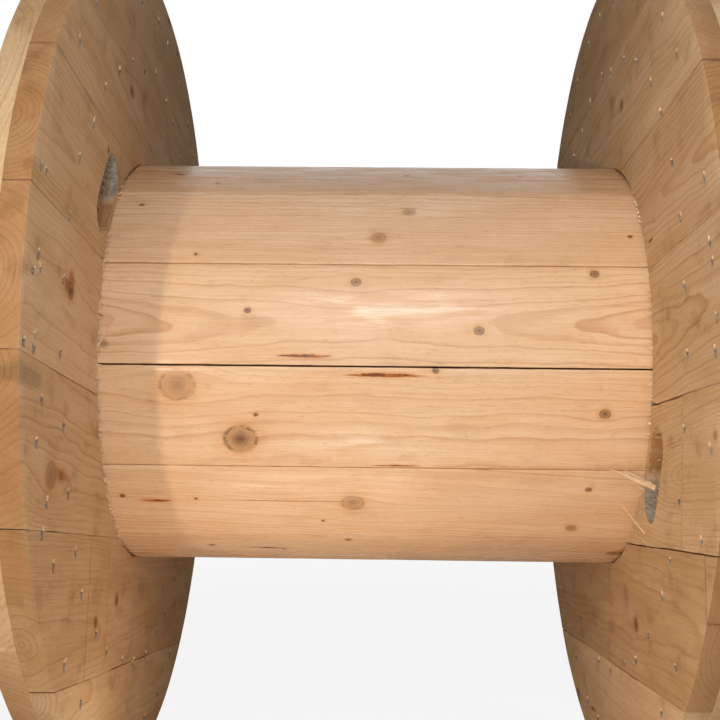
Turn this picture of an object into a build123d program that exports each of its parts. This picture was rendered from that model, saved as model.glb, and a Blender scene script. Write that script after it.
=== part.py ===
"""Wooden cable drum, lying on the rims of its two flanges.

The drum lies along X, with Z up. The origin is on the spindle axis, halfway between the flanges.
Each flange is two crossed layers of softwood boards, nailed together and sawn to a disc. Moulded
staves stand in a ring groove of each flange and close up into the barrel. Long bolts inside the
barrel clamp the flanges onto the staves. Beside the barrel each flange has a ramped slot, which
leads the inner end of the cable out to the far side of the flange.
"""

import math
import os

from build123d import *

# Main sizes of the drum
flange_diameter = 1000.0
barrel_diameter = 500.0
inner_width = 590.0

# Flange boards. A slope is the rise of the inner boards towards +Y, in degrees
board_thickness = 25.0
board_pitch = 148.0
board_gap = 1.2
left_slope = -10.5
right_slope = -7.5
left_shift = -7.0
right_shift = 0.5

# Staves of the barrel
stave_thickness = 28.0
stave_sweep = 26.2
stave_face_radius = 400.0
first_seam_angle = -2.7
seam_gap = 0.5
open_seam = 7
open_seam_gap = 2.2
groove_depth = 10.0
groove_clearance = 0.5

# Holes for the spindle and for the driving pin of a winding machine
spindle_hole_diameter = 80.0
drive_hole_diameter = 40.0
drive_hole_offset = 150.0

# Bolts that clamp the flanges onto the staves
bolt_count = 4
bolt_turn = 36.0
bolt_diameter = 14.0
bolt_hole_clearance = 0.5
bolt_stave_distance = 29.0
bolt_head_width = 22.0
bolt_head_height = 8.8
nut_height = 12.8
nut_hole_sides = 12
bolt_end_overhang = 5.0
washer_side = 50.0
washer_thickness = 4.0

# Ramped slots for the inner end of the cable. An angle is measured from +Y towards +Z
slot_width = 48.0
slot_barrel_distance = 9.0
slot_sweep = 12.6
slot_exit_length = 30.0
left_slot_angle = 139.0
right_slot_angle = 203.8
cutter_overshoot = 2.0

flange_radius = flange_diameter / 2
flange_thickness = 2 * board_thickness
barrel_radius = barrel_diameter / 2
inner_face = inner_width / 2
outer_face = inner_face + flange_thickness


def stave_heights(sweep):
    """How far the crown and the flat back of a stave lie from the drum's axis."""
    half_sweep = math.radians(sweep / 2)
    half_chord = barrel_radius * math.sin(half_sweep)
    face_rise = stave_face_radius - math.sqrt(stave_face_radius**2 - half_chord**2)
    crown = barrel_radius * math.cos(half_sweep) + face_rise
    return crown, crown - stave_thickness


groove_outer_radius = barrel_radius + groove_clearance
groove_inner_radius = stave_heights(stave_sweep)[1] - groove_clearance
bolt_circle_radius = groove_inner_radius - bolt_stave_distance
slot_radius = groove_outer_radius + slot_barrel_distance + slot_width / 2
bolt_hole_radius = bolt_diameter / 2 + bolt_hole_clearance


def flange_outline(slope):
    """Flange seen along the axis, with the holes that go straight through it."""
    outline = Circle(flange_radius) - Circle(spindle_hole_diameter / 2)
    outline -= Rot(0, 0, slope) * Pos(drive_hole_offset, 0) * Circle(drive_hole_diameter / 2)
    outline -= bolt_places() * Circle(bolt_hole_radius)
    return outline


def bolt_places():
    """Centres of the bolts, on a circle inside the barrel."""
    return PolarLocations(bolt_circle_radius, bolt_count, bolt_turn, rotate=False)


def board_offsets(shift, low_word, high_word):
    """Names and centre lines of the boards that it takes to cover the flange on both sides."""
    low_count = math.ceil((flange_radius + shift) / board_pitch - 0.5)
    high_count = math.ceil((flange_radius - shift) / board_pitch - 0.5)
    for step in range(-low_count, high_count + 1):
        word = low_word if step < 0 else high_word
        name = f"{word}_{abs(step)}" if step else "middle"
        yield name, shift + step * board_pitch


def board_layer(start_x, slope, shift, crosswise):
    """Boards of one layer, laid side by side from start_x on and sawn round."""
    outline = flange_outline(slope)
    plane = Plane.YZ.offset(start_x)
    strip = Rectangle(flange_diameter, board_pitch - board_gap)
    quarter_turn = 90 if crosswise else 0
    words = ("back", "front") if crosswise else ("low", "high")
    for name, offset in board_offsets(shift, *words):
        placed = Rot(0, 0, slope + quarter_turn) * Pos(0, offset) * strip
        yield name, extrude(plane * (placed & outline), board_thickness)


def stave_groove(side):
    """Ring in a flange's inner face that the ends of the staves stand in."""
    ring = Circle(groove_outer_radius) - Circle(groove_inner_radius)
    return extrude(Plane.YZ.offset(side * inner_face) * ring, groove_depth, dir=(side, 0, 0))


def cable_slot(side, angle, run):
    """Slot along the barrel whose floor drops from the inner face until it leaves the flange.

    A run of 1 drops the floor towards larger angles, and a run of -1 towards smaller ones.
    """
    middle = CenterArc((0, 0), slot_radius, angle - slot_sweep / 2, slot_sweep)
    start = side * (inner_face - cutter_overshoot)
    through = flange_thickness + 2 * cutter_overshoot
    shaft = extrude(Plane.YZ.offset(start) * SlotArc(middle, slot_width), through, dir=(side, 0, 0))

    turned = math.radians(angle)
    along = Vector(0, -math.sin(turned), math.cos(turned)) * run
    centre = Vector(side * inner_face, slot_radius * math.cos(turned), slot_radius * math.sin(turned))
    depth = Vector(side, 0, 0)
    ramp_plane = Plane(origin=centre, x_dir=along, z_dir=along.cross(depth))
    half_length = slot_radius * math.sin(math.radians(slot_sweep / 2)) + slot_width / 2
    ramp_end = half_length - slot_exit_length
    beyond = half_length + cutter_overshoot
    profile = Polyline(
        (-half_length, -cutter_overshoot),
        (-half_length, 0),
        (ramp_end, flange_thickness),
        (ramp_end, flange_thickness + cutter_overshoot),
        (beyond, flange_thickness + cutter_overshoot),
        (beyond, -cutter_overshoot),
        close=True,
    )
    ramp = extrude(ramp_plane * make_face(profile), slot_width, both=True)
    return shaft & ramp


def flange(name, side, slope, shift, slot_angle, slot_run):
    """Both layers of a flange, grooved for the staves and slotted for the cable."""
    slot = cable_slot(side, slot_angle, slot_run)
    cutters = {"inner": slot + stave_groove(side), "outer": slot}
    middle_x = side * (inner_face + board_thickness)
    starts = {"inner": min(middle_x, side * inner_face), "outer": min(middle_x, side * outer_face)}
    for layer, cutter in cutters.items():
        crosswise = layer == "outer"
        layer_shift = 0.0 if crosswise else shift
        for position, board in board_layer(starts[layer], slope, layer_shift, crosswise):
            yield f"{name}_{layer}_board_{position}", board - cutter


def stave_sweeps():
    """Angles that the staves take up: full ones, and a narrower one that closes the ring."""
    full_count = math.floor(360 / stave_sweep)
    left_over = 360 - full_count * stave_sweep
    if left_over < stave_sweep / 4:
        return [stave_sweep] * (full_count - 1) + [stave_sweep + left_over]
    return [stave_sweep] * full_count + [left_over]


def stave(sweep, low_gap, high_gap):
    """Stave around the Y axis: an arched face, a flat back, and edges on radii of the drum."""
    half_sweep = math.radians(sweep / 2)
    crown, back = stave_heights(sweep)
    high = Vector(barrel_radius * math.cos(half_sweep), barrel_radius * math.sin(half_sweep))
    low = Vector(high.X, -high.Y)
    back_high = (back, back * math.tan(half_sweep))
    back_low = (back, -back * math.tan(half_sweep))
    section = make_face([ThreePointArc(low, (crown, 0), high), Polyline(high, back_high, back_low, low)])
    for sign, gap in ((-1, low_gap), (1, high_gap)):
        half_joint = Pos(barrel_radius, 0) * Rectangle(2 * barrel_radius, gap)
        section -= Rot(0, 0, sign * sweep / 2) * half_joint
    return extrude(Plane.YZ * section, inner_face + groove_depth, both=True)


def barrel():
    """All staves, numbered from the first seam round. The seam after one of them stands open."""
    sweeps = stave_sweeps()
    start = first_seam_angle
    for number, sweep in enumerate(sweeps, 1):
        low_gap = open_seam_gap if number == open_seam + 1 else seam_gap
        high_gap = open_seam_gap if number == open_seam else seam_gap
        yield f"stave_{number:02d}", Rot(start + sweep / 2, 0, 0) * stave(sweep, low_gap, high_gap)
        start += sweep


def clamping_bolts():
    """Hexagon bolts through both flanges, each with a nut and two square plate washers."""
    hexagon = RegularPolygon(bolt_head_width / 2, 6, major_radius=False)
    shank_outline = Circle(bolt_diameter / 2)
    nut_hole = RegularPolygon(bolt_diameter / 2, nut_hole_sides, major_radius=False)
    plate = extrude(Rectangle(washer_side, washer_side) - Circle(bolt_hole_radius), washer_thickness)
    seat = outer_face + washer_thickness
    shank_length = 2 * seat + nut_height + bolt_end_overhang
    shank = extrude(Plane.XY.offset(-seat) * shank_outline, shank_length)
    head = extrude(Plane.XY.offset(-seat - bolt_head_height) * hexagon, bolt_head_height)
    nut = extrude(Plane.XY.offset(seat) * (hexagon - nut_hole), nut_height)
    for number, place in enumerate(bolt_places(), 1):
        on_axis = Plane.YZ.location * place
        yield f"left_washer_{number}", on_axis * Pos(0, 0, -seat) * plate
        yield f"right_washer_{number}", on_axis * Pos(0, 0, outer_face) * plate
        yield f"tie_bolt_{number}", on_axis * (head + shank)
        yield f"bolt_nut_{number}", on_axis * nut


def main():
    os.makedirs("parts", exist_ok=True)
    pieces = list(flange("left", -1, left_slope, left_shift, left_slot_angle, -1))
    pieces += flange("right", 1, right_slope, right_shift, right_slot_angle, 1)
    pieces += barrel()
    pieces += clamping_bolts()
    for name, piece in pieces:
        export_step(piece, f"parts/{name}.step")


main()
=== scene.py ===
import math
import random

import bmesh
import bpy
from mathutils import Matrix, Vector, noise


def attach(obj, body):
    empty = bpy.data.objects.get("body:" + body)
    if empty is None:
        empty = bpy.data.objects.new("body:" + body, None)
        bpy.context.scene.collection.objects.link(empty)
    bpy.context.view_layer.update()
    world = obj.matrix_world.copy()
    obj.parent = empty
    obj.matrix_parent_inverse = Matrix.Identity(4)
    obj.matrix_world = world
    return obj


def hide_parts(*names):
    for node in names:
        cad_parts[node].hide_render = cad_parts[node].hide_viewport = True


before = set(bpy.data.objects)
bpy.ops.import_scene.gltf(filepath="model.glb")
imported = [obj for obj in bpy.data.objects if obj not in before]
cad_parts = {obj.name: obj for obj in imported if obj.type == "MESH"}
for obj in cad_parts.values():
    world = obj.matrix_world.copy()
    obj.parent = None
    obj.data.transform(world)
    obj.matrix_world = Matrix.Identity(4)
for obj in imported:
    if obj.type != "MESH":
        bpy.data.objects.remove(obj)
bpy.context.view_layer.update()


# ---------------------------------------------------------------------------------------------
# Camera and studio: the drum lies on a pale studio floor and is seen from in front, level with
# its spindle. A soft box and a lamp stand above the camera, a small warm lamp to its left throws
# the left flange's shadow onto the barrel, reflectors lie on the floor, and the sides and the
# back have fainter lights of their own.
# ---------------------------------------------------------------------------------------------
camera = bpy.data.objects.new("camera", bpy.data.cameras.new("camera"))
camera.data.lens = 53.76
camera_turn = Matrix.Identity(4)
for degrees, axis in ((1.001, "Z"), (0.037, "X"), (-0.586, "Y"), (90.0, "X")):
    camera_turn = camera_turn @ Matrix.Rotation(math.radians(degrees), 4, axis)
camera.matrix_world = Matrix.Translation((0.0054, -1.3922, 0.0032)) @ camera_turn
bpy.context.scene.collection.objects.link(camera)
bpy.context.scene.camera = camera
bpy.context.scene.view_settings.view_transform = "Standard"


def soft_light(name, place, aim, width, height, power, colour=(1, 1, 1)):
    """Rectangular soft box that faces a point."""
    made = bpy.data.objects.new(name, bpy.data.lights.new(name, "AREA"))
    made.data.shape = "RECTANGLE"
    made.data.size, made.data.size_y, made.data.energy = width, height, power
    made.data.color = colour
    facing = (Vector(aim) - Vector(place)).to_track_quat("-Z", "Y").to_matrix().to_4x4()
    made.matrix_world = Matrix.Translation(place) @ facing
    made.visible_camera = False
    bpy.context.scene.collection.objects.link(made)


soft_light("front_soft_box", (-0.11, -1.3, 0.24), (0, 0, 0), 0.95, 0.7, 3.5)
soft_light("upper_lamp", (0.02, -1.2, 0.60), (0, -0.2, 0.05), 0.34, 0.17, 4.0)
soft_light("left_lamp", (-0.66, -1.9, -0.20), (0, 0, 0), 0.05, 0.05, 7.5, (1, 0.86, 0.68))
soft_light(
    "floor_reflector", (-0.08, -0.29, -0.49), (-0.08, -0.28, 0), 0.30, 0.09, 0.42, (1, 0.84, 0.66)
)
soft_light("front_reflector", (-0.03, -0.73, -0.49), (-0.03, -0.72, 0), 0.16, 0.08, 0.62)
soft_light("overhead_strip", (0.0, -0.1, 1.5), (0, -0.1, 0.25), 0.5, 0.12, 0.9)
soft_light("left_side_light", (-2.3, 0, 0), (-0.345, 0, 0), 0.5, 0.3, 12)
soft_light("right_side_light", (2.3, 0, 0), (0.345, 0, 0), 0.5, 0.3, 12)
soft_light("back_light", (0.0, 5.0, 0.1), (0, 0, 0), 1.0, 0.8, 22)


class Signal:
    """Value on its way through a node tree, so that sums on it are written as sums."""

    def __init__(self, tree, socket):
        self.tree, self.socket = tree, socket

    def __add__(self, other):
        return sums(self.tree, "ADD", self, other)

    def __sub__(self, other):
        return sums(self.tree, "SUBTRACT", self, other)

    def __rsub__(self, other):
        return sums(self.tree, "SUBTRACT", other, self)

    def __mul__(self, other):
        return sums(self.tree, "MULTIPLY", self, other)

    def __truediv__(self, other):
        return sums(self.tree, "DIVIDE", self, other)

    def __pow__(self, other):
        return sums(self.tree, "POWER", self, other)

    __radd__, __rmul__ = __add__, __mul__

    def clamp(self):
        made = node(self.tree, "Math", {0: self, 1: 0.0}, operation="ADD", use_clamp=True)
        return Signal(self.tree, made.outputs[0])

    def step(self, start, end):
        """Smooth rise from 0 at start to 1 at end."""
        made = node(
            self.tree, "MapRange", {0: self, 1: start, 2: end}, interpolation_type="SMOOTHSTEP"
        )
        return Signal(self.tree, made.outputs[0])


def node(tree, kind, inputs, **settings):
    """Adds a shader node, with its inputs set or linked."""
    made = tree.nodes.new("ShaderNode" + kind)
    for name, value in settings.items():
        setattr(made, name, value)
    for name, value in inputs.items():
        if isinstance(value, Signal):
            tree.links.new(value.socket, made.inputs[name])
        else:
            made.inputs[name].default_value = value
    return made


def sums(tree, operation, *values):
    made = node(tree, "Math", dict(enumerate(values)), operation=operation)
    return Signal(tree, made.outputs[0])


def start_material(name):
    """Material with a bare Principled surface."""
    made = bpy.data.materials.new(name)
    made.use_nodes = True
    return made, made.node_tree, made.node_tree.nodes["Principled BSDF"]


floor_mesh = bmesh.new()
bmesh.ops.create_circle(floor_mesh, cap_ends=True, segments=96, radius=30)
bmesh.ops.translate(floor_mesh, verts=floor_mesh.verts, vec=(0, 0, -0.5))
floor = bpy.data.objects.new("studio_floor", bpy.data.meshes.new("studio_floor"))
floor_mesh.to_mesh(floor.data)
bpy.context.scene.collection.objects.link(floor)
floor_paint, tree, surface = start_material("pale_floor")
surface.inputs["Base Color"].default_value = (0.78, 0.78, 0.77, 1)
surface.inputs["Roughness"].default_value = 0.9
ray = node(tree, "LightPath", {})
seen = Signal(tree, ray.outputs["Is Camera Ray"])
place = node(tree, "TexCoord", {})
away = node(tree, "VectorMath", {0: Signal(tree, place.outputs["Object"])}, operation="LENGTH")
fade = Signal(tree, away.outputs["Value"]).step(0.9, 2.6) * 0.12 + 0.88
glow = node(tree, "Emission", {"Color": (1, 1, 1, 1), "Strength": 1.0})
blend = node(tree, "MixShader", {0: seen * fade})
tree.links.new(surface.outputs[0], blend.inputs[1])
tree.links.new(glow.outputs[0], blend.inputs[2])
tree.links.new(blend.outputs[0], tree.nodes["Material Output"].inputs["Surface"])
floor.data.materials.append(floor_paint)

world = bpy.data.worlds.new("studio")
bpy.context.scene.world = world
world.use_nodes = True
tree = world.node_tree
ray = node(tree, "LightPath", {})
seen = Signal(tree, ray.outputs["Is Camera Ray"])
for kind in ("Is Glossy Ray", "Is Transmission Ray"):
    seen = sums(tree, "MAXIMUM", seen, Signal(tree, ray.outputs[kind]))
sky = tree.nodes["Background"]
sky.inputs["Color"].default_value = (1, 1, 1, 1)
tree.links.new((seen * 0.97 + 0.03).socket, sky.inputs["Strength"])


# ---------------------------------------------------------------------------------------------
# Inner boards of the flanges: rough-sawn softwood 25 mm thick, laid side by side and sawn to a
# disc after nailing. They carry the ring groove for the staves, the holes, and the ramped slot
# beside the barrel, which is hacked and torn rather than cut clean.
# ---------------------------------------------------------------------------------------------
flange_radius = 0.5
inner_face = 0.295
board_thickness = 0.025
outer_face = inner_face + 2 * board_thickness
board_pitch = 0.148
board_gap = 0.0012
board_slope = {"left": math.radians(-10.5), "right": math.radians(-7.5)}
board_shift = {"left": -0.007, "right": 0.0005}
side_way = {"left": -1, "right": 1}

spindle_hole_radius = 0.040
drive_hole_radius, drive_hole_distance = 0.020, 0.150
bolt_hole_radius, bolt_circle = 0.0075, 0.19003
bolt_turns = [math.radians(36 + 90 * number) for number in range(4)]
groove_outer, groove_inner, groove_floor = 0.2505, 0.21903, 0.305
nail_free_radius = 0.262


def as_piece(name, made):
    """Turns a finished bmesh into an object of the drum."""
    mesh = bpy.data.meshes.new(name)
    made.to_mesh(mesh)
    made.free()
    piece = bpy.data.objects.new(name, mesh)
    bpy.context.scene.collection.objects.link(piece)
    return piece


def everything(made):
    return made.verts[:] + made.edges[:] + made.faces[:]


def saw(made, point, way, drop=False):
    """Cuts a bmesh along a plane, and drops what lies beyond it."""
    bmesh.ops.bisect_plane(
        made, geom=everything(made), plane_co=point, plane_no=way, clear_outer=drop, dist=1e-6
    )


def ease_edges(made, width, sharpest=0.6):
    """Takes the sharpness off every hard edge."""
    hard = [e for e in made.edges if e.is_manifold and e.calc_face_angle() > sharpest]
    bmesh.ops.bevel(
        made, geom=hard, offset=width, offset_type="OFFSET", segments=2, profile=0.5,
        affect="EDGES", clamp_overlap=True, material=-1,
    )


def lathe(made, profile, centre, steps, closed=False):
    """Spins a profile of (radius, x) points round an axis along X through a (y, z) centre."""
    ring = [made.verts.new((x, centre[0] + radius, centre[1])) for radius, x in profile]
    edges = [made.edges.new(pair) for pair in zip(ring, ring[1:])]
    if closed:
        edges.append(made.edges.new((ring[-1], ring[0])))
    before = set(made.faces)
    bmesh.ops.spin(
        made, geom=ring + edges, cent=(0, *centre), axis=(1, 0, 0), angle=2 * math.pi,
        steps=steps, use_merge=True,
    )
    if not closed:
        rims = [e for e in made.edges if e.is_boundary]
        bmesh.ops.holes_fill(made, edges=rims, sides=0)
    bmesh.ops.recalc_face_normals(made, faces=[f for f in made.faces if f not in before])


def apply_modifiers(piece):
    """Keeps the mesh that the modifiers give, and takes them off."""
    graph = bpy.context.evaluated_depsgraph_get()
    made = bpy.data.meshes.new_from_object(piece.evaluated_get(graph))
    piece.modifiers.clear()
    piece.data = made


def cut_out(piece, cutter):
    """Takes a cutter's shape out of a piece."""
    cut = piece.modifiers.new("cut", "BOOLEAN")
    cut.operation, cut.solver, cut.object = "DIFFERENCE", "MANIFOLD", cutter
    apply_modifiers(piece)


def smooth_curves(piece, flat_axis=None):
    """Shades curved walls smooth and leaves edges over 32 degrees sharp."""
    for face in piece.data.polygons:
        face.use_smooth = flat_axis is None or abs(face.normal[flat_axis]) < 0.7
    piece.data.set_sharp_from_angle(angle=math.radians(32))


def flange_frame(side, layer):
    """Matrix from (along the boards, across them, depth into the wood) to the drum."""
    angle = board_slope[side] + (math.pi / 2 if layer == "outer" else 0)
    start = inner_face + (board_thickness if layer == "outer" else 0)
    way = side_way[side]
    return Matrix((
        (0, 0, way, way * start),
        (math.cos(angle), -math.sin(angle), 0, 0),
        (math.sin(angle), math.cos(angle), 0, 0),
        (0, 0, 0, 1),
    ))


def sawn_board(name, side, layer, low, high):
    """One board between two long edges, sawn round at its ends, with slightly uneven arrises."""
    made = bmesh.new()
    bmesh.ops.create_circle(made, cap_ends=True, segments=240, radius=flange_radius)
    saw(made, (0, low, 0), (0, -1, 0), drop=True)
    saw(made, (0, high, 0), (0, 1, 0), drop=True)
    for edge in (low + 0.003, high - 0.003):
        saw(made, (0, edge, 0), (0, 1, 0))
    chance = random.Random(name)
    along = -flange_radius + 0.01
    while along < flange_radius - 0.01:
        saw(made, (along, 0, 0), (1, 0, 0))
        along += chance.uniform(0.011, 0.02)
    grown = bmesh.ops.extrude_face_region(made, geom=made.faces[:])["geom"]
    lifted = [v for v in grown if isinstance(v, bmesh.types.BMVert)]
    bmesh.ops.translate(made, verts=lifted, vec=(0, 0, board_thickness))
    seed = chance.uniform(0, 90)
    for vert in made.verts:
        spot = vert.co
        wear = max(0.0, noise.noise(Vector((spot.x * 55, spot.z * 60 + seed, spot.y * 9)))) * 0.0011
        slow = noise.noise(Vector((spot.x * 8, seed, spot.y * 8)))
        wear += max(0.0, slow - 0.2) * 0.0018 - min(max(1.0 - slow * 5, 0.0), 1.0) * 0.00054
        if abs(spot.y - low) < 1e-5:
            spot.y += wear
        elif abs(spot.y - high) < 1e-5:
            spot.y -= wear
        reach = math.hypot(spot.x, spot.y)
        if reach > flange_radius - 0.0004:
            uneven = noise.noise(Vector((spot.x * 20, spot.y * 20, seed)))
            shaved = 1 - (0.0006 + 0.0009 * uneven) / reach
            spot.x, spot.y = spot.x * shaved, spot.y * shaved
    bmesh.ops.recalc_face_normals(made, faces=made.faces)
    ease_edges(made, 0.0006)
    bmesh.ops.transform(made, matrix=flange_frame(side, layer), verts=made.verts)
    bmesh.ops.recalc_face_normals(made, faces=made.faces)
    if made.calc_volume(signed=True) < 0:
        bmesh.ops.reverse_faces(made, faces=made.faces)
    return as_piece(name, made)


# The slot follows the barrel. Its floor drops from the inner face until it leaves the flange
slot_middle = {"left": math.radians(139.0), "right": math.radians(203.8)}
slot_run = {"left": -1, "right": 1}
slot_radius = 0.2835
slot_width = 0.048
slot_half_sweep = math.radians(6.3)
slot_half_length = slot_radius * math.sin(slot_half_sweep) + slot_width / 2
slot_ramp_end = slot_half_length - 0.030


def slot_depth(side, y, z):
    """Depth of the ramp below the inner face at a place on the flange."""
    turned = slot_middle[side]
    along = (-math.sin(turned) * y + math.cos(turned) * z) * slot_run[side]
    return 2 * board_thickness * (along + slot_half_length) / (slot_ramp_end + slot_half_length)


def in_slot(side, y, z, margin=0.0):
    """Whether a place on the flange lies in the slot's outline."""
    turned = math.atan2(z, y) % (2 * math.pi)
    middle = slot_middle[side]
    nearest = min(max(turned, middle - slot_half_sweep), middle + slot_half_sweep)
    gap = math.hypot(y - slot_radius * math.cos(nearest), z - slot_radius * math.sin(nearest))
    return gap < slot_width / 2 + margin


def slot_cutter(made, side):
    """Solid of the slot: its outline bent round the barrel, a ramped floor and torn walls."""
    bmesh.ops.create_circle(made, cap_ends=True, segments=74, radius=slot_width / 2)
    for vert in made.verts:
        vert.co.x += math.copysign(slot_radius * slot_half_sweep, vert.co.x)
    for step in range(-13, 14):
        saw(made, (step * 0.004, 0, 0), (1, 0, 0))
    for step in range(-5, 6):
        saw(made, (0, step * 0.004, 0), (0, 1, 0))
    overshoot = 0.002
    bmesh.ops.translate(made, verts=made.verts, vec=(0, 0, -overshoot))
    grown = bmesh.ops.extrude_face_region(made, geom=made.faces[:])["geom"]
    for vert in (g for g in grown if isinstance(g, bmesh.types.BMVert)):
        vert.co.z = 1.0
    for share in (0.08, 0.18, 0.3, 0.43, 0.57, 0.72, 0.86):
        saw(made, (0, 0, share), (0, 0, 1))
    frame_turn = board_slope[side]
    for vert in made.verts:
        along, across, share = vert.co
        depth = share
        turned = slot_middle[side] + along / slot_radius
        reach = slot_radius - across
        y, z = reach * math.cos(turned), reach * math.sin(turned)
        if share > 0:
            u = y * math.cos(frame_turn) + z * math.sin(frame_turn)
            v = -y * math.sin(frame_turn) + z * math.cos(frame_turn)
            fall = 0.0026 * noise.noise(Vector((u * 60, v * 420, 3.1)))
            fall += 0.0032 * noise.noise(Vector((u * 25, v * 90, 8.7)))
            through = 2 * board_thickness + overshoot
            depth = share * min(max(slot_depth(side, y, z) + fall, 0.0012), through)
            tear = 0.0022 * noise.noise(Vector((u * 90, v * 260, depth * 90)))
            y += tear * math.cos(frame_turn)
            z += tear * math.sin(frame_turn)
        vert.co = (side_way[side] * (inner_face + depth), y, z)
    bmesh.ops.recalc_face_normals(made, faces=made.faces)


def flange_bores(made, side):
    """Spindle hole, driving hole and bolt holes, each with its edge broken at both faces."""
    near, far = inner_face, outer_face
    holes = [
        (spindle_hole_radius, 0, 0),
        (drive_hole_radius, drive_hole_distance, board_slope[side]),
        *[(bolt_hole_radius, bolt_circle, turned) for turned in bolt_turns],
    ]
    for radius, distance, turned in holes:
        centre = (distance * math.cos(turned), distance * math.sin(turned))
        flare = min(0.0012, radius / 8)
        profile = [
            (radius + 2 * flare, near - flare), (radius, near + flare),
            (radius, far - flare), (radius + 2 * flare, far + flare),
        ]
        lathe(made, [(r, side_way[side] * x) for r, x in profile], centre, 64)


def stave_groove(made, side):
    """Ring groove for the ends of the staves. Its outer edge is chipped in places."""
    before = set(made.verts)
    profile = [
        (groove_inner, 0.293), (groove_inner, groove_floor), (groove_outer, groove_floor),
        (groove_outer, 0.2968), (groove_outer, 0.2953), (groove_outer, 0.293),
    ]
    lathe(made, [(r, side_way[side] * x) for r, x in profile], (0, 0), 300, closed=True)
    chips = 0.0060 if side == "left" else 0.0026
    for vert in made.verts:
        if vert in before or abs(vert.co.x) > 0.296 or math.hypot(vert.co.y, vert.co.z) < 0.25:
            continue
        rough = noise.noise(Vector((vert.co.y * 60, vert.co.z * 140, 0.0)))
        rough += 0.6 * noise.noise(Vector((vert.co.y * 200, vert.co.z * 330, 5.0)))
        chip = 1 + max(0.0, rough) * chips / groove_outer
        vert.co.y, vert.co.z = vert.co.y * chip, vert.co.z * chip


# Nail points that the photo shows, as (y, z) in millimetres. Two rings of nails carry on past them
nail_places = {
    "left": [
        (-445, 175), (-432, 172), (-358, 141), (-452, 95), (-466, 80), (-446, 82), (-376, 79),
        (-488, 18), (-462, 12), (-460, 23), (-384, 9), (-437, -33), (-451, -70), (-370, -61),
        (-420, -128), (-352, -127), (-433, -154), (-398, -190), (-325, -189), (-325, 203),
    ],
    "right": [
        (-425, 172), (-350, 146), (-443, 110), (-450, 94), (-367, 78), (-464, 45), (-462, 15),
        (-378, 14), (-318, 205), (-452, -70), (-370, -57), (-355, -128), (-427, -154),
        (-326, -190), (-250, -38),
    ],
}
nails = {}
for side, measured in nail_places.items():
    chance = random.Random(side + " nails")
    nails[side] = [(y / 1000, z / 1000) for y, z in measured]
    for ring in (377, 458):
        for turn in range(35):
            turned = math.radians(turn * 360 / 35 + 3)
            if math.cos(turned) > -0.80:
                reach = (ring + chance.uniform(-7, 7)) / 1000
                turned += chance.uniform(-0.02, 0.02)
                nails[side].append((reach * math.cos(turned), reach * math.sin(turned)))


def no_room_for_nail(side, y, z):
    """Whether a nail's point would come up under the barrel or in the slot."""
    return math.hypot(y, z) < nail_free_radius or in_slot(side, y, z, 0.007)


def nail_craters(made, side):
    """Shallow pits that the bent-over nail points tore in the inner face."""
    chance = random.Random(side + " craters")
    torn = []
    for y, z in nails[side]:
        crowded = any(math.hypot(y - other[0], z - other[1]) < 0.0145 for other in torn)
        if crowded or no_room_for_nail(side, y, z):
            continue
        torn.append((y, z))
        width, height = chance.uniform(0.0036, 0.0048), chance.uniform(0.0052, 0.0068)
        size = Matrix.Diagonal((0.0036, width, height, 1))
        spun = Matrix.Rotation(chance.uniform(-0.5, 0.5), 4, "X")
        put = Matrix.Translation((side_way[side] * (inner_face - 0.0002), y, z - 0.002))
        before = set(made.verts)
        bmesh.ops.create_uvsphere(
            made, u_segments=11, v_segments=8, radius=1, matrix=put @ spun @ size
        )
        for vert in (v for v in made.verts if v not in before):
            ragged = 1 + 0.25 * noise.noise(vert.co * 700)
            vert.co.y, vert.co.z = y + (vert.co.y - y) * ragged, z + (vert.co.z - z) * ragged


# Where shorter boards make up a row: place of each joint along it, its tilt and its width
butt_places = {
    ("left", "low_2"): [(-0.225, 0.0, 0.0013), (-0.142, 0.0, 0.001)],
    ("right", "low_1"): [(-0.3478, 0.131, 0.0008)],
    ("right", "low_2"): [(-0.412, 0.0, 0.0018)],
}


def butt_joints(piece, side, position, low, high):
    """Saws a row of the flange into its shorter boards."""
    made = bmesh.new()
    for along, tilt, width in butt_places[side, position]:
        size = Matrix.Diagonal((width, high - low + 0.006, 0.056, 1))
        put = Matrix.Translation((along, (low + high) / 2, board_thickness / 2))
        put = put @ Matrix.Rotation(tilt, 4, "Z")
        bmesh.ops.create_cube(made, size=1, matrix=flange_frame(side, "inner") @ put @ size)
    bmesh.ops.recalc_face_normals(made, faces=made.faces)
    kerfs = as_piece("cutter_kerfs", made)
    cut_out(piece, kerfs)
    bpy.data.objects.remove(kerfs)


cutters = {}
for side in side_way:
    for layer in ("outer", "inner"):
        made = bmesh.new()
        slot_cutter(made, side)
        flange_bores(made, side)
        if layer == "inner":
            stave_groove(made, side)
            nail_craters(made, side)
        cutters[side, layer] = as_piece(f"cutter_{side}_{layer}", made)


# Marks that a piece doesn't have lie far away from it
nowhere = (5000, 5000, 1, 1)
no_knot = (5000, 5000, 0, -1)


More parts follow.
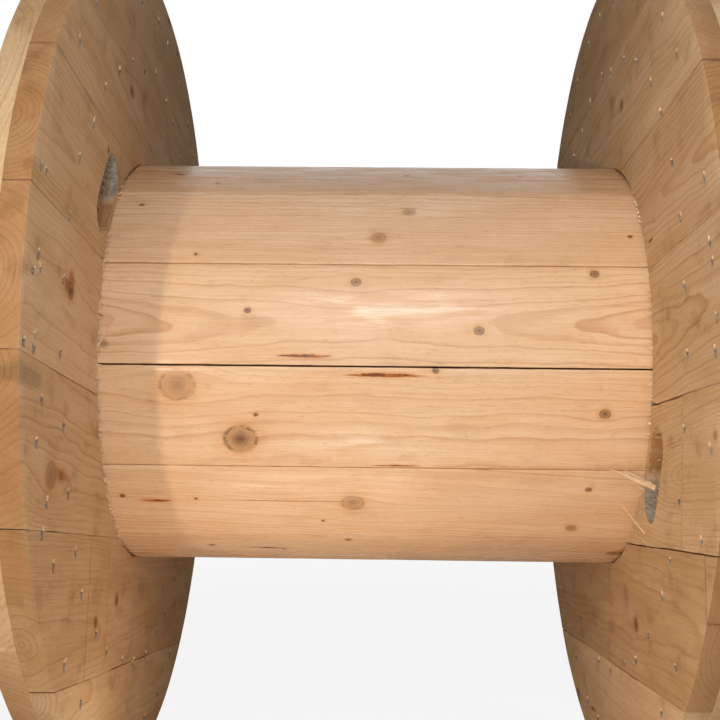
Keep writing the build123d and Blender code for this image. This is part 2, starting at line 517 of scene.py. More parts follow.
def lay_grain(piece, frame_matrix, pith, rings, knots, pockets=(), tone=0.0, torn=None,
              smear=nowhere, stain=nowhere, short=()):
    """Stores where each point lies in its log: the log's own coordinates, its pith and rings,
    up to six knots, two resin pockets, a grey smear and a brown stain, and how light the board
    is. Short boards past a butt joint get a growth of their own. Lengths are in millimetres."""
    mesh = piece.data
    back = frame_matrix.inverted()
    count = len(mesh.vertices)
    where = [back @ v.co for v in mesh.vertices]

    def store(name, kind, field, values, domain="POINT"):
        mesh.attributes.new(name, kind, domain).data.foreach_set(field, values)

    def marks(pith, rings, knots, pockets):
        listed = {"pith": pith, "rings": rings, "smear": smear, "stain": stain}
        for number, knot in enumerate([*knots, *[no_knot] * 6][:6], 1):
            listed[f"knot_{number}"] = knot
        for number, pocket in enumerate([*pockets, *[nowhere] * 2][:2], 1):
            listed[f"pocket_{number}"] = pocket
        return listed

    store("grain", "FLOAT_VECTOR", "vector", [c * 1000 for spot in where for c in spot])

    whole = marks(pith, rings, knots, pockets)
    parts = [(place, tilt, middle, marks(*growth)) for place, tilt, middle, growth in short]
    for name, values in whole.items():
        flat = list(values) * count
        for place, tilt, middle, own in parts:
            for index, spot in enumerate(where):
                if spot.x < place - math.tan(tilt) * (spot.y - middle):
                    flat[4 * index:4 * index + 4] = own[name]
        store(name, "FLOAT_COLOR", "color", flat)
    store("run", "FLOAT_VECTOR", "vector", list(frame_matrix.col[0][:3]) * count)
    store("tone", "FLOAT", "value", [tone] * count)
    # Torn share, which the material also turns into painted shade where it runs deep
    corners = [0.0] * len(mesh.loops)
    if torn:
        shares = [torn(v.co) for v in mesh.vertices]
        for face in mesh.polygons:
            level = (abs(face.center.x) - inner_face) / board_thickness
            if abs(face.normal.x) < 0.99 or abs(level - round(level)) > 0.02:
                for corner, vert in zip(face.loop_indices, face.vertices):
                    corners[corner] = shares[vert]
    store("torn", "FLOAT", "value", corners, "CORNER")


def start_group(name, inputs, outputs):
    """Node group with named inputs, given as values, and named outputs."""
    tree = bpy.data.node_groups.new(name, "ShaderNodeTree")
    kinds = {float: "NodeSocketFloat", tuple: "NodeSocketColor"}
    for label, value in inputs.items():
        socket = tree.interface.new_socket(label, in_out="INPUT", socket_type=kinds[type(value)])
        socket.default_value = value
    for label in outputs:
        tree.interface.new_socket(label, in_out="OUTPUT", socket_type="NodeSocketFloat")
    entry, ends = tree.nodes.new("NodeGroupInput"), tree.nodes.new("NodeGroupOutput")
    return tree, {s.name: Signal(tree, s) for s in entry.outputs if s.name}, ends


def finish_group(tree, ends, outputs):
    for name, value in outputs.items():
        tree.links.new(value.socket, ends.inputs[name])


def place_group(tree, group, inputs):
    made = tree.nodes.new("ShaderNodeGroup")
    made.node_tree = group
    for name, value in inputs.items():
        if isinstance(value, Signal):
            tree.links.new(value.socket, made.inputs[name])
        else:
            made.inputs[name].default_value = value
    return {s.name: Signal(tree, s) for s in made.outputs}


def grain_noise(tree, along, across, deep, scales, detail=2.0, shift=0.0):
    """Noise stretched along the grain. The scales are per millimetre."""
    spot = node(tree, "CombineXYZ", {
        0: along * scales[0] + shift, 1: across * scales[1], 2: deep * scales[2],
    })
    made = node(tree, "TexNoise", {
        "Vector": Signal(tree, spot.outputs[0]), "Scale": 1.0, "Detail": detail, "Roughness": 0.55,
    })
    return Signal(tree, made.outputs["Fac"])


# A knot pushes the rings aside. It shows a ringed heart, a broken dark bark ring and a halo
knot_group, given, ends = start_group(
    "knot",
    {"Along": 0.0, "Across": 0.0, "Knot": (0.0, 0.0, 0.0, 0.0), "Look": 0.0, "Wobble": 0.0,
     "Heart": 0.0, "Bark": 0.0, "Halo": 0.0, "Turn": 0.0, "Core": 0.0, "True across": 0.0},
    ["Across", "Heart", "Bark", "Halo", "Turn", "Core"],
)
tree = knot_group
parts = node(tree, "SeparateColor", {0: given["Knot"]})
knot_along, knot_across, radius = (Signal(tree, parts.outputs[i]) for i in range(3))
du = given["Along"] - knot_along
dv = given["Across"] - knot_across
far = (du * 0.45) * (du * 0.45) + dv * dv
room = far / (far + radius * radius * 2.4 + 0.0001)
away = sums(tree, "SQRT", (du * 0.84) * (du * 0.84) + (given["True across"] - knot_across) ** 2.0)
away = away * ((given["Wobble"] - 0.5) * 2.0 / (radius * 0.35 + 1.0) + 1.0)
shown = sums(tree, "GREATER_THAN", given["Look"], -0.5)
heart = ((radius - away) / (radius * 0.22 + 0.3) + 0.5).clamp() * shown
ring = (away - radius) / (radius * 0.09 + 0.3)
bark = sums(tree, "EXPONENT", ring * ring * -1.0) * given["Look"].clamp()
bark = bark * given["Wobble"].step(0.40, 0.60)
halo = (1.0 - (away - radius) / (radius * 1.3 + 2.0)).clamp() * shown
small = (1.0 - radius / 8.0).clamp() * 0.8
core = sums(tree, "MAXIMUM", (1.0 - away / (radius * 0.75 + 0.1)).clamp(), small)
core = core * heart * (given["Look"] * 0.6 + 0.4)
finish_group(tree, ends, {
    "Across": knot_across + dv * room,
    "Heart": sums(tree, "MAXIMUM", given["Heart"], heart * (given["Look"] * 0.55 + 0.45)),
    "Bark": sums(tree, "MAXIMUM", given["Bark"], bark),
    "Halo": sums(tree, "MAXIMUM", given["Halo"], halo * halo * (given["Look"] * 0.4 + 0.6)),
    "Turn": given["Turn"] + heart * (away / (radius * 0.20 + 0.5) + given["Wobble"] * 2.0),
    "Core": sums(tree, "MAXIMUM", given["Core"], core),
})

# Growth rings round the pith: pale early wood that darkens to a thin line of late wood
ring_group, given, ends = start_group(
    "growth_rings",
    {"Along": 0.0, "Across": 0.0, "Deep": 0.0, "Pith": (0.0, 0.0, 0.0, 0.0), "Taper": 0.0,
     "Rings": (0.0, 0.0, 0.0, 0.0), "Seed": 0.0},
    ["Late wood", "Year"],
)
tree = ring_group
pith = node(tree, "SeparateColor", {0: given["Pith"]})
pith_across, pith_depth, sag = (Signal(tree, pith.outputs[i]) for i in range(3))
kind = node(tree, "SeparateColor", {0: given["Rings"]})
ring_width, tilt, strength = (Signal(tree, kind.outputs[i]) for i in range(3))
along, across, deep = given["Along"], given["Across"], given["Deep"]
wander = grain_noise(tree, along, across, deep, (0.0042, 0.006, 0.006), 1.0, given["Seed"])
waves = grain_noise(tree, along, across, deep, (0.016, 0.03, 0.03), 1.0, given["Seed"] + 31.0)
level = pith_depth + given["Taper"] * along + sag * along * along * 0.001 - deep
sideways = across - pith_across - tilt * along + (wander - 0.5) * 16.0
from_pith = sums(tree, "SQRT", sideways * sideways + level * level)
years = from_pith / ring_width + (waves - 0.5) * 1.1 + given["Seed"]
uneven = node(
    tree, "TexNoise", {"W": years * 0.43, "Scale": 1.0, "Detail": 1.0}, noise_dimensions="1D"
)
years = years + Signal(tree, uneven.outputs["Fac"]) * 1.6
year = sums(tree, "FLOOR", years)
season = sums(tree, "FRACT", years)
weight = node(tree, "TexWhiteNoise", {"W": year}, noise_dimensions="1D")
weight = Signal(tree, weight.outputs["Value"])
line = (season.step(0.30, 0.90) ** 1.6) * (1.0 - season.step(0.90, 1.0))
finish_group(tree, ends, {"Late wood": line * (weight * 0.75 + 0.25) * strength, "Year": weight})

# A resin pocket is a thin lens between two rings, filled with dark resin
pocket_group, given, ends = start_group(
    "resin_pocket",
    {"Along": 0.0, "Across": 0.0, "Pocket": (0.0, 0.0, 0.0, 0.0), "Half height": 0.0, "Wobble": 0.0,
     "Filled": 0.0, "Stained": 0.0},
    ["Filled", "Stained"],
)
tree = pocket_group
parts = node(tree, "SeparateColor", {0: given["Pocket"]})
middle, level, half_length = (Signal(tree, parts.outputs[i]) for i in range(3))
out = (given["Along"] - middle) / half_length
up = (given["Across"] - level) / given["Half height"] + (given["Wobble"] - 0.5) * 1.2
lens = 1.0 - out * out - sums(tree, "ABSOLUTE", up)
glow = 1.0 - out * out * 0.75 - sums(tree, "ABSOLUTE", up) * 0.4
finish_group(tree, ends, {
    "Filled": sums(tree, "MAXIMUM", given["Filled"], (lens * 3.0).clamp()),
    "Stained": sums(tree, "MAXIMUM", given["Stained"], glow.clamp()),
})

# Soft-edged patch of dirt or stain
patch_group, given, ends = start_group(
    "soft_patch",
    {"Along": 0.0, "Across": 0.0, "Patch": (0.0, 0.0, 0.0, 0.0), "Half height": 0.0, "Wobble": 0.0},
    ["Mask"],
)
tree = patch_group
parts = node(tree, "SeparateColor", {0: given["Patch"]})
middle, level, half_length = (Signal(tree, parts.outputs[i]) for i in range(3))
out = (given["Along"] - middle) / half_length
up = (given["Across"] - level) / given["Half height"]
span = sums(tree, "SQRT", out * out + up * up) + (given["Wobble"] - 0.5) * 1.4
finish_group(tree, ends, {"Mask": (1.0 - span).step(0.0, 0.75)})

# Sawn or planed fibres: fine streaks, short dark dashes, and the surface's relief
fibre_group, given, ends = start_group(
    "fibres", {"Along": 0.0, "Across": 0.0, "Deep": 0.0, "Fuzz": 0.0}, ["Streak", "Dash", "Relief"]
)
tree = fibre_group
along, across, deep = given["Along"], given["Across"], given["Deep"]
streak = grain_noise(tree, along, across, deep, (0.012, 0.55, 0.55), 3.0)
fine = grain_noise(tree, along, across, deep, (0.09, 2.1, 2.1), 2.0, 40.0)
dash = grain_noise(tree, along, across, deep, (0.11, 1.3, 1.3), 0.0, 90.0).step(0.70, 0.80)
fuzz = grain_noise(tree, along, across, deep, (0.9, 1.7, 1.7), 2.0, 7.0)
finish_group(tree, ends, {
    "Streak": streak, "Dash": dash,
    "Relief": streak * 0.5 + fine * 0.35 + (fuzz - 0.5) * given["Fuzz"],
})


def srgb(red, green, blue):
    """Colour written as on a screen, from 0 to 255."""
    parts = [c / 255 for c in (red, green, blue)]
    return (*[c / 12.92 if c < 0.04045 else ((c + 0.055) / 1.055) ** 2.4 for c in parts], 1.0)


def mixed(tree, share, first, second, way="MIX"):
    made = node(tree, "Mix", {0: share, 6: first, 7: second}, data_type="RGBA", blend_type=way)
    return Signal(tree, made.outputs[2])


def attribute(tree, name):
    made = tree.nodes.new("ShaderNodeAttribute")
    made.attribute_name = name
    return made


def wood(name, colours, fuzz, relief, roughness, shine, dirt, ring_strength, burnish):
    """Softwood cut from a log, whose rings and knots go right through the piece."""
    material, tree, surface = start_material(name)
    lies = node(tree, "SeparateXYZ", {0: Signal(tree, attribute(tree, "grain").outputs["Vector"])})
    along, across, deep = (Signal(tree, lies.outputs[i]) for i in range(3))
    pith, rings = attribute(tree, "pith"), attribute(tree, "rings")
    seed = Signal(tree, rings.outputs["Alpha"])
    wobble = grain_noise(tree, along, across, deep, (0.10, 0.13, 0.13), 2.0, seed)
    knots = {"Across": across, "Heart": 0.0, "Bark": 0.0, "Halo": 0.0, "Turn": 0.0, "Core": 0.0}
    for number in range(1, 7):
        mark = attribute(tree, f"knot_{number}")
        knots = place_group(tree, knot_group, {
            "Along": along, "Knot": Signal(tree, mark.outputs["Color"]),
            "Look": Signal(tree, mark.outputs["Alpha"]), "Wobble": wobble, "True across": across,
            **knots,
        })
    growth = place_group(tree, ring_group, {
        "Along": along, "Across": knots["Across"], "Deep": deep,
        "Pith": Signal(tree, pith.outputs["Color"]), "Taper": Signal(tree, pith.outputs["Alpha"]),
        "Rings": Signal(tree, rings.outputs["Color"]), "Seed": seed,
    })
    resin = {"Filled": 0.0, "Stained": 0.0}
    for number in (1, 2):
        mark = attribute(tree, f"pocket_{number}")
        resin = place_group(tree, pocket_group, {
            "Along": along, "Across": across, "Pocket": Signal(tree, mark.outputs["Color"]),
            "Half height": Signal(tree, mark.outputs["Alpha"]), "Wobble": wobble, **resin,
        })
    patches = []
    blur = grain_noise(tree, along, across, deep, (0.02, 0.06, 0.06), 2.0, seed + 5.0)
    for label in ("smear", "stain"):
        mark = attribute(tree, label)
        patches.append(place_group(tree, patch_group, {
            "Along": along, "Across": across, "Patch": Signal(tree, mark.outputs["Color"]),
            "Half height": Signal(tree, mark.outputs["Alpha"]), "Wobble": blur,
        })["Mask"])
    fibres = place_group(
        tree, fibre_group, {"Along": along, "Across": across, "Deep": deep, "Fuzz": fuzz}
    )
    cloud = grain_noise(tree, along, across, deep, (0.0045, 0.022, 0.022), 2.0, seed + 11.0)
    soil = grain_noise(tree, along, across, deep, (0.02, 0.03, 0.03), 4.0, seed + 57.0)
    torn = Signal(tree, attribute(tree, "torn").outputs["Fac"])

    late = (growth["Late wood"] * ring_strength).clamp()
    colour = mixed(tree, cloud.step(0.30, 0.70), colours["early"], colours["warm"])
    colour = mixed(tree, growth["Year"] * 0.22, colour, colours["warm"])
    colour = mixed(tree, late, colour, colours["late"])
    colour = mixed(
        tree, fibres["Streak"].step(0.35, 0.75) * 0.2, colour, colours["late"], "MULTIPLY"
    )
    colour = mixed(tree, fibres["Dash"] * 0.45, colour, colours["late"], "MULTIPLY")
    colour = mixed(tree, knots["Halo"] * 0.55, colour, colours["halo"], "MULTIPLY")
    colour = mixed(tree, patches[1] * 0.7, colour, colours["stain"], "MULTIPLY")
    bands = sums(tree, "SINE", knots["Turn"] * 6.2832) * 0.5 + 0.5
    dark = (bands * 0.22 + knots["Core"] * 1.1).clamp()
    heart = mixed(tree, dark, colours["heart"], colours["heart_dark"])
    heart = mixed(tree, knots["Core"].step(0.78, 1.0) * 0.6, heart, colours["bark"])
    colour = mixed(tree, knots["Heart"] * 0.9, colour, heart)
    colour = mixed(tree, knots["Bark"] * 0.75, colour, colours["bark"])
    colour = mixed(tree, resin["Stained"] * 0.5, colour, colours["stain"], "MULTIPLY")
    filling = mixed(tree, wobble.step(0.35, 0.65), colours["resin"], colours["resin_dark"])
    colour = mixed(tree, resin["Filled"], colour, filling)
    colour = mixed(tree, patches[0] * 0.6, colour, colours["smear"], "MULTIPLY")
    colour = mixed(tree, soil.step(0.52, 0.78) * dirt, colour, colours["dirt"], "MULTIPLY")
    facing, run = node(tree, "TexCoord", {}), attribute(tree, "run")
    end = node(tree, "VectorMath", {
        0: Signal(tree, facing.outputs["Normal"]), 1: Signal(tree, run.outputs["Vector"]),
    }, operation="DOT_PRODUCT")
    end = Signal(tree, end.outputs["Value"])
    colour = mixed(tree, (end * end).step(0.15, 0.9) * 0.75, colour, colours["end"], "MULTIPLY")
    # Tone darkens towards the aged colour: an aged tone on boards and staves, painted shade on the
    # top stave
    tone = Signal(tree, attribute(tree, "tone").outputs["Fac"])
    colour = mixed(tree, tone.clamp(), colour, colours["aged_and_shade"], "MULTIPLY")
    frayed = grain_noise(tree, along, across, deep, (0.06, 0.45, 0.20), 3.0, 23.0)
    # Pale torn fibres are the wood's own colour; the grey that follows deeper in the slot and in
    # nail pits is painted shade of those recesses
    colour = mixed(tree, (torn * 2.2).clamp() * 0.7, colour, colours["torn"])
    deep_shade_grey = (torn + (frayed - 0.5) * 1.8).step(0.34, 0.66)
    grey = mixed(tree, frayed.step(0.3, 0.7), colours["deep_shade_dark"], colours["deep_shade_grey"])
    colour = mixed(tree, deep_shade_grey, colour, grey)
    tree.links.new(colour.socket, surface.inputs["Base Color"])

    polish = grain_noise(tree, along, across, deep, (0.014, 0.11, 0.11), 3.0, seed + 71.0)
    gloss = roughness + (fibres["Streak"] - 0.5) * 0.16 + torn * 0.25 - late * 0.05
    gloss = gloss - polish.step(0.40, 0.60) * burnish
    tree.links.new(gloss.socket, surface.inputs["Roughness"])
    surface.inputs["Specular IOR Level"].default_value = shine
    height = fibres["Relief"] + late * 0.25 + frayed * torn * 1.3 - knots["Bark"] * 0.6
    bump = node(tree, "Bump", {"Strength": 1.0, "Distance": relief, "Height": height})
    tree.links.new(bump.outputs["Normal"], surface.inputs["Normal"])
    return material


# The two greys given for deep torn wood are painted shade of the slot's deep end and the nail pits
sawn_pine = wood(
    "sawn_pine",
    {
        "early": srgb(234, 204, 165), "warm": srgb(222, 186, 143), "late": srgb(194, 146, 100),
        "halo": srgb(222, 184, 140), "heart": srgb(178, 134, 94), "heart_dark": srgb(92, 62, 36),
        "bark": srgb(58, 42, 26), "resin": srgb(164, 98, 44), "resin_dark": srgb(102, 58, 28),
        "dirt": srgb(186, 170, 150), "torn": srgb(232, 200, 164), "deep_shade_dark": srgb(138, 130, 116),
        "end": srgb(196, 164, 130), "aged_and_shade": srgb(200, 176, 140), "smear": srgb(182, 184, 192),
        "deep_shade_grey": srgb(186, 176, 160), "stain": srgb(206, 158, 104),
    },
    fuzz=0.55, relief=0.0007, roughness=0.8, shine=0.03, dirt=0.5, ring_strength=0.62, burnish=0.0,
)

# Growth of each board that the front shows, in millimetres in its flange's own directions:
# pith (across, depth, sag, taper), rings (width, tilt, strength, seed), knots (along, across,
# radius, darkness) and resin pockets (along, across, half length, half height)
board_growth = {
    "left_inner_board_high_1": (
        (118, 46, 0, 0.03), (5.2, -0.03, 0.8, 3.3), [(-250, 190, 3, 0.6)], [],
    ),
    "left_inner_board_middle": (
        (-24, 40, -0.06, -0.04), (5.8, -0.02, 0.7, 8.1),
        [(-358.5, 2.7, 8, 0.9), (-372, 6, 5, 0.5), (180, -30, 7, 0.7)], [],
    ),
    "left_inner_board_low_1": (
        (-128, 48, 0, 0.02), (6.0, -0.05, 0.9, 5.7),
        [(-382, -177.6, 13, 0.25), (-366, -150, 9, -1), (-350, -176, 4, 0.3), (210, -140, 8, 0.8)],
        [],
    ),
    "left_inner_board_low_2": (
        (-300, 60, 0, 0.02), (5.0, 0.02, 0.6, 9.9), [(-100, -300, 6, 0.8)], [],
    ),
    "left_inner_board_low_2_2": (
        (-262, 30, 0, -0.03), (4.4, 0.0, 0.7, 21.5), [(-300, -250, 2, 0.9)], [],
    ),
    "left_inner_board_low_2_3": (
        (-330, 38, 0, 0.05), (5.8, 0.0, 0.8, 14.3), [(-190, -320, 5, 0.8)], [],
    ),
    "left_inner_board_high_2": (
        (300, 52, 0, -0.03), (5.5, 0.01, 0.6, 4.2), [(-160, 300, 7, 0.7)], [],
    ),
    "right_inner_board_high_1": (
        (140, 45, 0, 0.05), (6.0, 0.0, 0.95, 2.2), [(120, 150, 8, 0.8)], [(-252, 103, 10, 1.6)],
    ),
    "right_inner_board_middle": (
        (-10.5, 26, 0, -0.047), (5.5, -0.02, 1.0, 6.4), [(260, 20, 9, 0.8)], [(-250, -72, 6, 1.4)],
    ),
    "right_inner_board_low_1": (
        (-148, 74, 0, 0.19), (4.3, 0.0, 1.0, 7.5), [(170, -160, 8, 0.7)], [],
    ),
    "right_inner_board_low_1_2": (
        (-156, 34, 0, 0.03), (4.8, -0.06, 0.8, 27.5), [(-452, -118, 4, 0.2)], [],
    ),
    "right_inner_board_low_2": (
        (-290, 62, 0, -0.02), (5.4, 0.02, 0.6, 1.8), [(-150, -310, 7, 0.8)], [],
    ),
    "right_inner_board_low_2_2": (
        (-250, 40, 0, 0.02), (4.6, 0.02, 0.7, 33.8), [], [],
    ),
    "right_inner_board_high_2": (
        (310, 55, 0, 0.03), (5.2, 0.0, 0.7, 3.9), [(-130, 300, 6, 0.7)], [],
    ),
}

# How aged some boards look, and a grey smear and stains on some, given as (along, across, half
# length, half height)
board_tone = {
    "left_inner_board_high_1": 0.12, "left_inner_board_middle": 0.0,
    "left_inner_board_low_1": 0.25, "left_inner_board_low_2": 0.46,
    "right_inner_board_high_1": 0.18, "right_inner_board_middle": 0.2,
    "right_inner_board_low_1": 0.18, "right_inner_board_low_2": 0.5,
}
board_smears = {"left_inner_board_low_1": (-470, -98, 70, 14)}
board_stains = {
    "left_inner_board_low_1": (-342, -175, 46, 9), "left_inner_board_middle": (-357, 12, 16, 17),
}


def chance_growth(name, low, high, half_length):
    """Growth for a board or stave that the front doesn't show."""
    chance = random.Random(name + " growth")
    middle = (low + high) / 2
    pith = (
        middle + chance.uniform(-60, 60), chance.uniform(20, 75),
        chance.uniform(-0.10, 0.06), chance.uniform(-0.05, 0.05),
    )
    rings = (
        chance.uniform(3.6, 6.2), chance.uniform(-0.03, 0.03),
        chance.uniform(0.6, 1.0), chance.uniform(0, 60),
    )
    knots = []
    for _ in range(chance.randint(2, 5)):
        radius = chance.choice((2, 3, 4, 6, 9, 12))
        knots.append((
            chance.uniform(-half_length, half_length), chance.uniform(low + 12, high - 12),
            radius, chance.uniform(0.3, 1.0),
        ))
    pockets = []
    if chance.random() < 0.4:
        pockets.append((
            chance.uniform(-0.7, 0.7) * half_length, chance.uniform(low + 15, high - 15),
            chance.uniform(15, 40), 1.6,
        ))
    return pith, rings, knots, pockets


def torn_and_shaded_in_slot(side, layer):
    """How torn a place is and how grey its painted shade: most where the slot's ramp runs deep, and
    in nail pits.
    """
    def share(spot):
        depth = abs(spot.x) - inner_face
        if in_slot(side, spot.y, spot.z, 0.0035):
            return min(max(slot_depth(side, spot.y, spot.z) - 0.037, 0.0) / 0.020, 1.0)
        in_pit = layer == "inner" and depth < 0.005 and any(
            abs(spot.y - y) < 0.008 and abs(spot.z - z) < 0.010 for y, z in nails[side]
        )
        return 0.3 if in_pit else 0.0
    return share


def board_row(side, layer):
    """Positions of a layer's boards, with their low and high long edges."""
    shift = board_shift[side] if layer == "inner" else 0.0
    words = ("low", "high") if layer == "inner" else ("back", "front")
    for step in range(-3, 4):
        word = words[0] if step < 0 else words[1]
        middle = shift + step * board_pitch
        half = (board_pitch - board_gap) / 2
        yield (f"{word}_{abs(step)}" if step else "middle"), middle - half, middle + half


def finish_piece(piece, material, replaced=None, flat_axis=None):
    """Shades a piece, gives it its material, and ties it to the drum."""
    smooth_curves(piece, flat_axis)
    piece.data.materials.clear()
    piece.data.materials.append(material)
    if replaced:
        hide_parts(replaced)
    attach(piece, "root")


def lay_boards(layer):
    """Makes a layer of both flanges."""
    for side in side_way:
        for position, low, high in board_row(side, layer):
            name = f"{side}_{layer}_board_{position}"
            piece = sawn_board(name + "_dressed", side, layer, low, high)
            cut_out(piece, cutters[side, layer])
            joints = butt_places.get((side, position), []) if layer == "inner" else []
            if joints:
                butt_joints(piece, side, position, low, high)
            growth = board_growth.get(name) or chance_growth(name, low * 1000, high * 1000, 400)
            tone = board_tone.get(name, random.Random(name + " tone").uniform(0, 0.35))
            short = [(place, tilt, (low + high) / 2, board_growth.get(f"{name}_{number}"))
                     for number, (place, tilt, _) in enumerate(joints, 2)]
            lay_grain(
                piece, flange_frame(side, layer), *growth,
                tone=tone, torn=torn_and_shaded_in_slot(side, layer),
                smear=board_smears.get(name, nowhere), stain=board_stains.get(name, nowhere),
                short=[part for part in short if part[3]],
            )
            finish_piece(piece, sawn_pine, name, flat_axis=0)


lay_boards("inner")


# ---------------------------------------------------------------------------------------------
# Outer boards of the flanges: the same sawn boards laid crosswise behind the inner ones. The
# slot leaves the flange through two of them.
# ---------------------------------------------------------------------------------------------
lay_boards("outer")
for cutter in cutters.values():
    bpy.data.objects.remove(cutter)


# ---------------------------------------------------------------------------------------------
# Staves of the barrel: planed spruce, moulded to an arched face and closed up edge to edge.
# Their ends stand in the grooves of the flanges. The seam below the seventh stands open.
# ---------------------------------------------------------------------------------------------
barrel_radius = 0.25
stave_face_radius = 0.4
stave_thickness = 0.028
stave_reach = groove_floor
stave_count = 14
stave_sweep = math.radians(26.2)
first_seam = math.radians(-2.7)
seam_gaps = {5: 0.0003, 6: 0.0012, 7: 0.0017, 8: 0.0011, 9: 0.0003}

# Its two greys for deep torn wood are painted shade as on the flanges; no stave carries a torn
# share
planed_spruce = wood(
    "planed_spruce",
    {
        "early": srgb(239, 204, 166), "warm": srgb(232, 190, 147), "late": srgb(203, 150, 104),
        "halo": srgb(236, 204, 166), "heart": srgb(198, 150, 102), "heart_dark": srgb(88, 58, 30),
        "bark": srgb(56, 40, 22), "resin": srgb(186, 112, 50), "resin_dark": srgb(126, 70, 32),
        "dirt": srgb(214, 200, 184), "torn": srgb(232, 204, 172), "deep_shade_dark": srgb(132, 120, 104),
        # The aged colour also serves as painted shade on the top stave
        "end": srgb(196, 164, 130), "aged_and_shade": srgb(200, 176, 140), "smear": srgb(150, 142, 132),
        "deep_shade_grey": srgb(158, 146, 126), "stain": srgb(244, 190, 130),
    },
    fuzz=0.12, relief=0.00009, roughness=0.42, shine=0.36, dirt=0.3,
    ring_strength=0.8, burnish=0.20,
)

# Growth of the staves that the front shows. Knots and pockets are given as (along the barrel,
# height up round it from its front, ...), the pith as (below the stave's middle, ...)
stave_growth = {
    5: ((-10, 60, 0, 0.02), (3.8, 0.0, 0.8, 1.4),
        [(-186, 252, 2, 0.9), (36, 286, 3, 0.9), (172, 287, 2, 0.8)], [(-235, 285, 10, 4)]),
    6: ((-52, 34, -0.02, 0.0), (3.5, 0.0, 0.9, 4.6),
        [(38, 191, 6, 0.5), (4, 149, 7, 0.5), (-196, 124, 1.5, 1), (281, 154, 2, 1),
         (-266, 200, 2, 1)],
        [(-160, 111, 15, 1)]),
    7: ((9, 42, -0.13, 0.0), (4.6, 0.0, 0.85, 7.3),
        [(-20, 90, 4.5, 0.9), (-136, 57, 3, 1), (112, 37, 4.5, 0.9), (237, 102, 4, 0.9)],
        [(-75, 8, 33, 2.2)]),
    8: ((30, 52, 0, 0.0), (4.4, 0.0, 0.65, 2.9),
        [(-210, -25, 16, 0.5), (-143, -85, 15, 0.85), (-126, -57, 1.8, 1), (66, -7, 2.8, 1),
         (247, -52, 5, 0.9)],
        [(11, -12.5, 47, 2.6), (25, -114, 30, 1)]),
    9: ((66, 34, 0, 0.0), (4.0, 0.05, 0.75, 5.1),
        [(237, -145, 3, 0.8), (-22, -170, 10.5, 0.5), (-279, -163, 2.5, 1), (-197, -166, 1.5, 1),
         (226, -209, 5, 0.6), (-56, -201, 1.5, 1)],
        [(-241, -170, 17, 2), (-100, -168, 100, 0.6)]),
    10: ((20, 50, 0, 0.02), (4.2, 0.0, 0.7, 8.8),
         [(-28, -242, 3, 0.9), (-190, -267, 3, 0.9), (-105, -280, 1.5, 1), (288, -280, 8, 0.9)],
         [(-124, -275, 12, 2)]),
}

# How aged some staves look, except that the top stave's darkening is painted shade, and a grey
# smear and a resin stain on some of them, given as (along, height, half length, half height)
stave_tones_and_top_shade = {5: 0.36, 10: 0.08}
stave_marks = {
    5: [nowhere, (-235, 285, 26, 6)],
    7: [(-289, 18, 8, 8), nowhere],
    9: [nowhere, (-241, -170, 26, 5)],
    10: [(-124, -275, 40, 4), (288, -281, 12, 6)],
}


